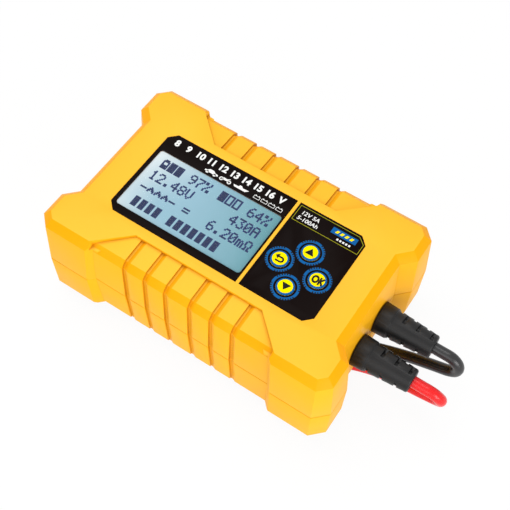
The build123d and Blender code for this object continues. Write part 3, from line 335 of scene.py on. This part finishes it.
COPPER = surface("copper", (0.82, 0.42, 0.25), 0.3, 0.08, 300, 4000, 0.12, metallic=1.0)
ALUMINIUM = surface("aluminium", (0.75, 0.76, 0.77), 0.35, 0.05, 300, 4000, 0.12, metallic=1.0)
BOARD = surface("board_green", (0.01, 0.13, 0.04), 0.35, 0.12, 200, 2500, 0.08)
DULL_BLACK = surface("dull_black", (0.02, 0.02, 0.021), 0.5, 0.1, 200, 3000, 0.12)
FOOT = surface("foot_rubber", (0.02, 0.02, 0.021), 0.65, 0.15, 150, 1500, 0.2)
PALE = surface("pale_plastic", (0.72, 0.71, 0.66), 0.5, 0.05, 200, 3000, 0.1)
GREY = surface("ribbon_grey", (0.2, 0.2, 0.21), 0.5, 0.1, 200, 3000, 0.1)
SLEEVE = surface("capacitor_sleeve", (0.02, 0.025, 0.07), 0.3, 0.1, 200, 3000, 0.05)
FUSE_GLASS = surface("fuse_glass", (0.8, 0.85, 0.85), 0.1, 0.03, 200, 3000, 0.02)


def finish_node(name, material):
    """Give one CAD node its material."""
    mesh = NODES[name].data
    mesh.materials.clear()
    mesh.materials.append(material)


# ---------------------------------------------------------------- shaping helpers
FLAT_BELOW = math.radians(1.0)    # faces that meet at less than this become one
ROUNDED_ABOVE = math.radians(28)  # edges that turn more than this are rounded
SHARP_ABOVE = math.radians(35)    # and those above this are shaded as edges


def add_piece(name, mesh, material, body):
    """New visible piece from a mesh already in place."""
    piece = bpy.data.objects.new(name, mesh)
    bpy.context.scene.collection.objects.link(piece)
    mesh.materials.clear()
    mesh.materials.append(material)
    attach(piece, body)
    return piece


def apply_modifiers(piece):
    """Bake a piece's modifiers into its mesh."""
    depsgraph = bpy.context.evaluated_depsgraph_get()
    made = bpy.data.meshes.new_from_object(piece.evaluated_get(depsgraph))
    piece.modifiers.clear()
    piece.data = made


def softened(node, material, body, radius):
    """Copy of a CAD node with its edges rounded to a radius in metres, standing for it."""
    source = NODES[node].data.copy()
    mesh = bmesh.new()
    mesh.from_mesh(source)
    bmesh.ops.remove_doubles(mesh, verts=mesh.verts, dist=0.002 * MM)
    bmesh.ops.dissolve_limit(mesh, angle_limit=FLAT_BELOW, verts=mesh.verts, edges=mesh.edges)
    mesh.to_mesh(source)
    mesh.free()
    piece = add_piece(node + "_body", source, material, body)
    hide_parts(node)
    bevel = piece.modifiers.new("round", "BEVEL")
    bevel.width = radius
    bevel.segments = 2
    bevel.limit_method = "ANGLE"
    bevel.angle_limit = ROUNDED_ABOVE
    bevel.use_clamp_overlap = True
    bevel.harden_normals = False
    apply_modifiers(piece)
    piece.data.shade_smooth()
    piece.data.set_sharp_from_angle(angle=SHARP_ABOVE)
    return piece


def slab_into(mesh, outline, low, high):
    """Prism with the given outline, counter-clockwise points (x, y) in millimetres."""
    bottom = [mesh.verts.new((x * MM, y * MM, low)) for x, y in outline]
    upper = [mesh.verts.new((x * MM, y * MM, high)) for x, y in outline]
    mesh.faces.new(upper)
    mesh.faces.new(list(reversed(bottom)))
    count = len(outline)
    for i in range(count):
        j = (i + 1) % count
        mesh.faces.new((bottom[i], bottom[j], upper[j], upper[i]))


def box_outline(x, y, width, height):
    """Outline of a rectangle from its lower left corner."""
    return [(x, y), (x + width, y), (x + width, y + height), (x, y + height)]


def ring_into(mesh, centre, inner, outer, low, high, start=0, stop=360, steps=48):
    """Flat ring, or an arc of one, in millimetres and degrees."""
    whole = stop - start >= 360
    count = max(2, int(steps * (stop - start) / 360))
    rows = []
    for i in range(count + (0 if whole else 1)):
        turn = math.radians(start + (stop - start) * i / count)
        ray = (math.cos(turn), math.sin(turn))
        row = []
        for radius, height in ((inner, low), (outer, low), (outer, high), (inner, high)):
            x = (centre[0] + radius * ray[0]) * MM
            y = (centre[1] + radius * ray[1]) * MM
            row.append(mesh.verts.new((x, y, height)))
        rows.append(row)
    pairs = list(zip(rows, rows[1:])) + ([(rows[-1], rows[0])] if whole else [])
    for a, b in pairs:
        for k in range(4):
            mesh.faces.new((a[k], b[k], b[(k + 1) % 4], a[(k + 1) % 4]))
    if not whole:
        mesh.faces.new(rows[0])
        mesh.faces.new(list(reversed(rows[-1])))


def turn_into(mesh, centre, profile, steps=64):
    """Closed ring turned about an upright axis, profile of (radius mm, height m)."""
    rows = []
    for i in range(steps):
        turn = 2 * math.pi * i / steps
        ray = (math.cos(turn), math.sin(turn))
        row = []
        for radius, height in profile:
            x = (centre[0] + radius * ray[0]) * MM
            y = (centre[1] + radius * ray[1]) * MM
            row.append(mesh.verts.new((x, y, height)))
        rows.append(row)
    count = len(profile)
    for i in range(steps):
        a, b = rows[i], rows[(i + 1) % steps]
        for k in range(count):
            mesh.faces.new((a[k], b[k], b[(k + 1) % count], a[(k + 1) % count]))


def disc(centre, radius, steps=40):
    """Outline of a circle, in millimetres."""
    turns = [2 * math.pi * i / steps for i in range(steps)]
    return [(centre[0] + radius * math.cos(t), centre[1] + radius * math.sin(t)) for t in turns]


def frame_into(mesh, outline, width, low, high):
    """Thin line along a closed outline, width inwards."""
    count = len(outline)
    inner = []
    for i in range(count):
        before = Vector(outline[i - 1])
        here = Vector(outline[i])
        after = Vector(outline[(i + 1) % count])
        first = (here - before).normalized()
        second = (after - here).normalized()
        inwards = Vector((-first.y, first.x)) + Vector((-second.y, second.x))
        inner.append(here + inwards * (width / (1 + first.dot(second))))
    for i in range(count):
        j = (i + 1) % count
        slab_into(mesh, [outline[i], outline[j], tuple(inner[j]), tuple(inner[i])], low, high)


def finish_mesh(name, mesh, material, body):
    """Turn a bmesh into a piece, with its normals facing outwards."""
    bmesh.ops.recalc_face_normals(mesh, faces=mesh.faces)
    data = bpy.data.meshes.new(name)
    mesh.to_mesh(data)
    mesh.free()
    return add_piece(name, data, material, body)


FONT_SCALE = 1.38  # the font's size over the height of its figures


def text_into(mesh, text, at, size, low, thickness, width=1.0, slant=0.0, bold=0.0):
    """Lettering laid flat: at is its left end on the base line, size its height."""
    curve = bpy.data.curves.new("text", "FONT")
    curve.body = text
    curve.size = size * MM * FONT_SCALE
    curve.extrude = thickness / 2
    curve.offset = bold * MM
    curve.shear = slant
    curve.resolution_u = 4
    holder = bpy.data.objects.new("text", curve)
    bpy.context.scene.collection.objects.link(holder)
    bpy.context.view_layer.update()
    depsgraph = bpy.context.evaluated_depsgraph_get()
    made = bpy.data.meshes.new_from_object(holder.evaluated_get(depsgraph))
    before = len(mesh.verts)
    mesh.from_mesh(made)
    mesh.verts.ensure_lookup_table()
    for vert in mesh.verts[before:]:
        vert.co.x = vert.co.x * width + at[0] * MM
        vert.co.y += at[1] * MM
        vert.co.z += low + thickness / 2
    bpy.data.objects.remove(holder)


# ---------------------------------------------------------------- case
# Nodes whose edges are rounded: material, slot and edge radius in millimetres
ROOT_SOFT = {
    "upper_shell": (YELLOW, "case_yellow", 0.3),
    "lower_shell": (YELLOW, "case_yellow", 0.3),
    "strain_relief_black": (RELIEF, "relief_rubber", 0.12),
    "strain_relief_red": (RELIEF, "relief_rubber", 0.12),
    "screen_panel": (PANEL, "panel_black", 0.1),
    "keypad_panel": (PANEL, "panel_black", 0.1),
}
for node, (finish, slot_name, radius) in ROOT_SOFT.items():
    softened(node, finish, "root", radius * MM)

# Nodes that keep the CAD shape
ROOT_FINISH = {
    "display_glass": display_material(), "display_window": window_material(),
    "case_screws": STEEL, "rubber_feet": FOOT, "backlight": PALE, "display_frame": STEEL,
    "display_board": BOARD, "display_pins": BRASS, "key_switches": DULL_BLACK,
    "main_board": BOARD, "power_board": BOARD, "board_screws": STEEL,
    "control_chip": DULL_BLACK, "buzzer": DULL_BLACK, "link_connectors": PALE,
    "link_ribbon": GREY, "load_relay": DULL_BLACK, "load_resistor": PALE,
    "capacitors": SLEEVE, "choke_core": DULL_BLACK, "choke_winding": COPPER,
    "heatsink": ALUMINIUM, "power_transistors": DULL_BLACK, "fuse_clips": BRASS,
    "fuse": FUSE_GLASS, "lead_terminals": BRASS, "power_inlet": DULL_BLACK, "inlet_pin": BRASS,
}
for node, finish in ROOT_FINISH.items():
    finish_node(node, finish)
for key in KEYS:
    finish_node("plunger_" + key, DULL_BLACK)

# ---------------------------------------------------------------- leads and clamps
for colour in COLOURS:
    LEADS[colour].data.materials.append(LEAD_FINISH[colour])
    finish_node("lead_inner_" + colour, LEAD_FINISH[colour])
    finish_node("clamp_pin_" + colour, STEEL)
    finish_node("clamp_spring_" + colour, STEEL)
    shell = CLAMP_FINISH[colour]
    jaw = "clamp_" + colour + "_jaw"
    slot_name = "clamp_" + colour
    lower = softened("clamp_lower_" + colour, shell, "root", 0.5 * MM)
    upper = softened("clamp_upper_" + colour, shell, jaw, 0.5 * MM)
    lower_plate = softened("jaw_plate_lower_" + colour, COPPER, "root", 0.1 * MM)
    upper_plate = softened("jaw_plate_upper_" + colour, COPPER, jaw, 0.1 * MM)
    boot = softened(
        "clamp_boot_" + colour, LEAD_FINISH[colour], "root", 0.3 * MM
    )

# ---------------------------------------------------------------- printing on the panels
PRINT = 0.02 * MM  # thickness of every print
panel_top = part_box("screen_panel")[1].z
window_low, window_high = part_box("display_window")
window_left, window_head = window_low.x / MM, window_high.y / MM
keypad_low, keypad_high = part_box("keypad_panel")
keypad_left, keypad_right = keypad_low.x / MM, keypad_high.x / MM
keypad_head = keypad_high.y / MM

# Pictograms under the scale, in millimetres from the left end of the print's base line
PRINT_LINE = window_head + 1.4
CAR = (
    (22.9, 0.4), (30.1, 0.3), (29.9, 1.2), (28.3, 1.4), (27.1, 2.2), (25.1, 2.2), (24.1, 1.3),
    (22.9, 1.1),
)
CAR_WHEELS = (24.5, 28.4)
BIKE = ((32.2, 0.6), (36.0, 0.7), (35.4, 1.7), (36.3, 2.4), (35.8, 2.5), (34.6, 1.7), (32.6, 1.9))
BIKE_WHEELS = (32.0, 36.2)
BOAT = (
    (39.2, 0.3), (45.0, 0.3), (46.6, 1.7), (43.2, 1.5), (42.4, 2.3), (41.4, 2.3), (41.0, 1.4),
    (38.4, 1.3),
)
BATTERY_LEFT, BATTERY_PITCH, BATTERY_SIZE = 49.6, 3.95, (3.2, 1.7)

SCALE_FIGURES = ("8", "9", "10", "11", "12", "13", "14", "15", "16", "V")
SCALE_LEFT, SCALE_PITCH, SCALE_BASE, SCALE_HEIGHT = 2.0, 6.35, 5.6, 3.5
SINGLE_FIGURE_INSET = 0.9


def printed(mesh, outline, layer=0):
    """Printed area on a panel; layer 1 lies on layer 0."""
    low = panel_top + layer * PRINT
    slab_into(mesh, outline, low, low + PRINT)


def printed_text(mesh, text, at, size, **style):
    """Printed lettering on a panel."""
    text_into(mesh, text, at, size, panel_top, PRINT, **style)


def print_scale():
    """Bold white scale of figures above the display, and small pictograms under it."""
    mesh = bmesh.new()
    for index, figure in enumerate(SCALE_FIGURES):
        x = window_left + SCALE_LEFT + SCALE_PITCH * index
        if len(figure) == 1:
            x += SINGLE_FIGURE_INSET
        at = (x, window_head + SCALE_BASE)
        printed_text(mesh, figure, at, SCALE_HEIGHT, width=0.98, bold=0.2)
    for outline in (CAR, BIKE, BOAT):
        printed(mesh, [(window_left + x, PRINT_LINE + y) for x, y in outline])
    for x in CAR_WHEELS:
        printed(mesh, disc((window_left + x, PRINT_LINE + 0.3), 0.75, 20))
    for x in BIKE_WHEELS:
        hub = (window_left + x, PRINT_LINE + 0.7)
        ring_into(mesh, hub, 0.5, 1.0, panel_top, panel_top + PRINT)
    width, height = BATTERY_SIZE
    for index in range(4):
        x = window_left + BATTERY_LEFT + BATTERY_PITCH * index
        cell = box_outline(x, PRINT_LINE, width, height)
        frame_into(mesh, cell, 0.22, panel_top, panel_top + PRINT)
        for post in (0.5, 2.2):
            printed(mesh, box_outline(x + post, PRINT_LINE + height, 0.5, 0.4))
    finish_mesh("scale_print", mesh, WHITE_PRINT, "root")


RATING_LEFT, RATING_RIGHT, RATING_HEAD = 0.9, 0.8, 1.1  # the field's margins on the panel
RATING_HEIGHT, RATING_CUT = 8.6, 3.4
RATING_STYLE = {"width": 1.05, "slant": 0.1, "bold": 0.05}
RATING_LINES = (("12V 5A", 2.0, 4.6), ("5-100Ah", 1.6, 1.4))
TICKS, TICKS_AT, TICK_PITCH, TICK_SIZE = 5, (22.2, 1.4), 1.5, (0.9, 1.0)
PATCH_AT, PATCH_SIZE = (18.0, 3.6), (12.6, 3.3)
BARS, BARS_AT, BAR_PITCH = 4, 1.8, 2.4
BAR = ((0.0, 0.9), (1.3, 0.9), (2.0, 2.4), (0.7, 2.4))


def print_rating_box():
    """Thin outlined field at the top of the keypad panel, with a rating and a plain patch."""
    left = keypad_left + RATING_LEFT
    right = keypad_right - RATING_RIGHT
    high = keypad_head - RATING_HEAD
    low = high - RATING_HEIGHT
    outline = [
        (left, low), (right, low), (right, high - RATING_CUT + 0.6),
        (right - RATING_CUT, high), (left, high),
    ]
    line = bmesh.new()
    frame_into(line, outline, 0.2, panel_top, panel_top + PRINT)
    finish_mesh("rating_outline", line, YELLOW_PRINT, "root")
    words = bmesh.new()
    for text, x, y in RATING_LINES:
        printed_text(words, text, (left + x, low + y), 2.1, **RATING_STYLE)
    for index in range(TICKS):
        x = left + TICKS_AT[0] + TICK_PITCH * index
        printed(words, box_outline(x, low + TICKS_AT[1], *TICK_SIZE))
    finish_mesh("rating_print", words, WHITE_PRINT, "root")
    patch = bmesh.new()
    x, y = left + PATCH_AT[0], low + PATCH_AT[1]
    printed(patch, box_outline(x, y, *PATCH_SIZE))
    finish_mesh("patch_print", patch, BLUE, "root")
    bars = bmesh.new()
    for index in range(BARS):
        start = x + BARS_AT + BAR_PITCH * index
        printed(bars, [(start + across, y + up) for across, up in BAR], layer=1)
    finish_mesh("patch_bars", bars, KEY_YELLOW, "root")


def key_centre(key):
    """Centre of a key and its top, in millimetres and metres."""
    low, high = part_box("key_" + key)
    return ((low.x + high.x) / 2 / MM, (low.y + high.y) / 2 / MM), high.z


# Prints round the keys, in millimetres
KEY_RING = (5.2, 6.45)                # blue ring, inner and outer radius
KEY_RING_GAPS = (5.75, 6.5)           # dark strokes across its outer part
RING_SECTORS = (10, 100, 190, 280)    # degrees, where each group of strokes starts
STROKES, STROKE_PITCH, STROKE_ARC = 6, 10.5, 5.2


def print_key_rings():
    """Blue rings round the keys, broken by short dark strokes."""
    rings = bmesh.new()
    strokes = bmesh.new()
    for key in KEYS:
        centre, _ = key_centre(key)
        ring_into(rings, centre, *KEY_RING, panel_top, panel_top + PRINT, steps=72)
        for sector in RING_SECTORS:
            for stroke in range(STROKES):
                turn = sector + stroke * STROKE_PITCH
                ring_into(
                    strokes, centre, *KEY_RING_GAPS, panel_top + PRINT, panel_top + 2 * PRINT,
                    turn, turn + STROKE_ARC, steps=240,
                )
    finish_mesh("key_rings", rings, BLUE, "root")
    finish_mesh("key_ring_strokes", strokes, BLACK_PRINT, "root")


# Blue rim over a key's rounded edge: radius, and height over the key's top, in millimetres
RIM_PROFILE = (
    (3.35, -0.3), (3.35, 0.04), (3.8, 0.04), (4.05, -0.06), (4.18, -0.3), (4.18, -0.48),
    (3.9, -0.48), (3.7, -0.3),
)


def arrow_back_into(mesh, x, y, low, high):
    """Arrow that turns back: a half ring with two straight ends and a head."""
    ring_into(mesh, (x + 0.7, y - 0.35), 0.7, 1.55, low, high, -90, 90, 40)
    slab_into(mesh, box_outline(x - 1.5, y - 1.9, 2.2, 0.85), low, high)
    slab_into(mesh, box_outline(x - 0.9, y + 0.35, 1.6, 0.85), low, high)
    slab_into(mesh, [(x - 2.4, y + 0.78), (x - 0.8, y - 0.65), (x - 0.8, y + 2.2)], low, high)


TRIANGLE_HALF, TRIANGLE_FOOT, TRIANGLE_TIP = 2.15, 1.45, 1.95


def print_key(key):
    """Yellow key with a blue rim and a dark sign, which travel with it."""
    centre, key_top = key_centre(key)
    body = "key_" + key + "_button"
    softened("key_" + key, KEY_YELLOW, body, 0.12 * MM)
    rim = bmesh.new()
    turn_into(rim, centre, [(radius, key_top + rise * MM) for radius, rise in RIM_PROFILE])
    finish_mesh("key_rim_" + key, rim, BLUE, body)
    sign = bmesh.new()
    x, y = centre
    low, high = key_top, key_top + PRINT
    if key in ("up", "down"):
        way = 1 if key == "up" else -1
        foot = y - TRIANGLE_FOOT * way
        tip = (x, y + TRIANGLE_TIP * way)
        points = [(x - TRIANGLE_HALF, foot), (x + TRIANGLE_HALF, foot), tip]
        slab_into(sign, points if way > 0 else points[::-1], low, high)
    elif key == "ok":
        text_into(sign, "OK", (x - 2.45, y - 1.85), 3.7, low, PRINT, width=0.75, bold=0.3)
    else:
        arrow_back_into(sign, x, y, low, high)
    finish_mesh("key_sign_" + key, sign, BLACK_PRINT, body)


# ---------------------------------------------------------------- display figures
# Dot characters, five dots wide and seven rows high. "o" is the ohm sign, "L" a lock or
# battery top, "#" a full cell, "-" an empty one, "b" a level bar; "_" and "^" make a resistor.
GLYPHS = {
    "0": "01110 10001 10011 10101 11001 10001 01110",
    "1": "00100 01100 00100 00100 00100 00100 01110",
    "2": "01110 10001 00001 00010 00100 01000 11111",
    "3": "11111 00010 00100 00010 00001 10001 01110",
    "4": "00010 00110 01010 10010 11111 00010 00010",
    "5": "11111 10000 11110 00001 00001 10001 01110",
    "6": "00110 01000 10000 11110 10001 10001 01110",
    "7": "11111 00001 00010 00100 01000 01000 01000",
    "8": "01110 10001 10001 01110 10001 10001 01110",
    "9": "01110 10001 10001 01111 00001 00010 01100",
    "%": "11001 11001 00010 00100 01000 10011 10011",
    "V": "10001 10001 10001 10001 10001 01010 00100",
    "A": "01110 10001 10001 11111 10001 10001 10001",
    "m": "00000 00000 11010 10101 10101 10101 10101",
    "o": "01110 10001 10001 10001 01010 01010 11011",
    ".": "00000 00000 00000 00000 00000 01100 01100",
    "=": "00000 00000 11111 00000 11111 00000 00000",
    "#": "11111 11111 11111 11111 11111 11111 11111",
    "-": "11111 10001 10001 10001 10001 10001 11111",
    "L": "01110 11111 10001 10001 11111 11111 11111",
    "^": "00000 00100 01110 11011 10001 00000 00000",
    "_": "00000 00000 00000 11111 00000 00000 00000",
    "b": "11110 11110 11110 11110 11110 11110 11110",
}


# The dot characters' measures, in millimetres
CHARACTER_PITCH = 3.9
DISPLAY_INSET = 3.6
DOT_PITCH = (0.65, 0.78)
DOT_SIZE = (0.92, 0.92)
# Rows of the readout: how far under the window's head, then (text, first column) pairs
READOUT = (
    (8.35, (("L## 97%", 0.2), ("#-- 64%", 8.4))),
    (16.05, (("12.48V", 0.0), ("430A", 11.2))),
    (23.95, (("_^^^_ =", 0.0), ("6.20mo", 9.5))),
    (32.15, (("bbbb bbbbbbb", 0.5),)),
)


def display_row(mesh, text, column, base):
    """One row of dot characters; column counts characters from the display's left edge."""
    surface_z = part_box("display_glass")[1].z
    for index, letter in enumerate(text):
        if letter not in GLYPHS:
            continue
        start = window_left + DISPLAY_INSET + (column + index) * CHARACTER_PITCH
        for row, bits in enumerate(GLYPHS[letter].split()):
            for place, bit in enumerate(bits):
                if bit == "1":
                    x = start + place * DOT_PITCH[0]
                    y = base + (6 - row) * DOT_PITCH[1]
                    slab_into(mesh, box_outline(x, y, *DOT_SIZE), surface_z, surface_z + PRINT)


def print_display():
    """Generic readout: level bars, percentages, voltage, current and resistance."""
    mesh = bmesh.new()
    for drop, blocks in READOUT:
        for text, column in blocks:
            display_row(mesh, text, column, window_head - drop)
    finish_mesh("display_figures", mesh, DARK_PIXEL, "root")


print_scale()
print_rating_box()
print_key_rings()
for key in KEYS:
    print_key(key)
print_display()


# ---------------------------------------------------------------- stage and light
FLOOR_HALF = 3.0      # metres
FLOOR_WHITE = 0.93    # share of plain white in the floor that the camera sees
WORLD_LIGHT = 0.545   # strength of the white surroundings as light


def make_floor():
    """Seamless white floor that still takes a faint shadow."""
    mesh = bpy.data.meshes.new("floor")
    corners = [(x * FLOOR_HALF, y * FLOOR_HALF, 0) for x, y in ((-1, -1), (1, -1), (1, 1), (-1, 1))]
    mesh.from_pydata(corners, [], [(0, 1, 2, 3)])
    floor = bpy.data.objects.new("floor", mesh)
    bpy.context.scene.collection.objects.link(floor)
    material = bpy.data.materials.new("floor")
    material.use_nodes = True
    tree = material.node_tree
    tree.nodes.clear()
    output = tree.nodes.new("ShaderNodeOutputMaterial")
    matt = tree.nodes.new("ShaderNodeBsdfDiffuse")
    matt.inputs["Color"].default_value = (0.9, 0.9, 0.9, 1)
    white = tree.nodes.new("ShaderNodeEmission")
    mix = tree.nodes.new("ShaderNodeMixShader")
    share = tree.nodes.new("ShaderNodeMath")
    share.operation = "MULTIPLY"
    share.inputs[1].default_value = FLOOR_WHITE
    tree.links.new(seen_rays(tree), share.inputs[0])
    tree.links.new(share.outputs["Value"], mix.inputs["Fac"])
    tree.links.new(matt.outputs["BSDF"], mix.inputs[1])
    tree.links.new(white.outputs["Emission"], mix.inputs[2])
    tree.links.new(mix.outputs["Shader"], output.inputs["Surface"])
    mesh.materials.append(material)


def seen_rays(tree):
    """1 for camera, glossy and transmission rays, else 0."""
    path = tree.nodes.new("ShaderNodeLightPath")
    first = tree.nodes.new("ShaderNodeMath")
    first.operation = "MAXIMUM"
    tree.links.new(path.outputs["Is Camera Ray"], first.inputs[0])
    tree.links.new(path.outputs["Is Glossy Ray"], first.inputs[1])
    second = tree.nodes.new("ShaderNodeMath")
    second.operation = "MAXIMUM"
    tree.links.new(first.outputs["Value"], second.inputs[0])
    tree.links.new(path.outputs["Is Transmission Ray"], second.inputs[1])
    return second.outputs["Value"]


def make_world():
    """Even white surroundings: bright to the camera, gentler as light."""
    world = bpy.data.worlds.new("world")
    bpy.context.scene.world = world
    world.use_nodes = True
    tree = world.node_tree
    tree.nodes.clear()
    output = tree.nodes.new("ShaderNodeOutputWorld")
    back = tree.nodes.new("ShaderNodeBackground")
    back.inputs["Color"].default_value = (1.0, 1.0, 1.0, 1)
    strength = tree.nodes.new("ShaderNodeMapRange")
    strength.inputs["To Min"].default_value = WORLD_LIGHT
    strength.inputs["To Max"].default_value = 1.0
    tree.links.new(seen_rays(tree), strength.inputs["Value"])
    tree.links.new(strength.outputs["Result"], back.inputs["Strength"])
    tree.links.new(back.outputs["Background"], output.inputs["Surface"])


def area_light(name, place, size, power):
    """Soft square lamp aimed at the object; place and size in metres, power in watts."""
    data = bpy.data.lights.new(name, "AREA")
    data.size = size
    data.energy = power
    lamp = bpy.data.objects.new(name, data)
    bpy.context.scene.collection.objects.link(lamp)
    lamp.location = place
    aim = Vector((0, 0, 0.03)) - Vector(place)
    lamp.rotation_euler = aim.to_track_quat("-Z", "Y").to_euler()


make_floor()
make_world()
area_light("lamp_above", (-0.35, 0.15, 1.1), 0.9, 7.6)
area_light("lamp_front", (0.1, -0.9, 0.5), 0.7, 2.4)
area_light("lamp_right", (0.85, -0.45, 0.3), 0.5, 4.6)
bpy.context.scene.view_settings.view_transform = "Standard"
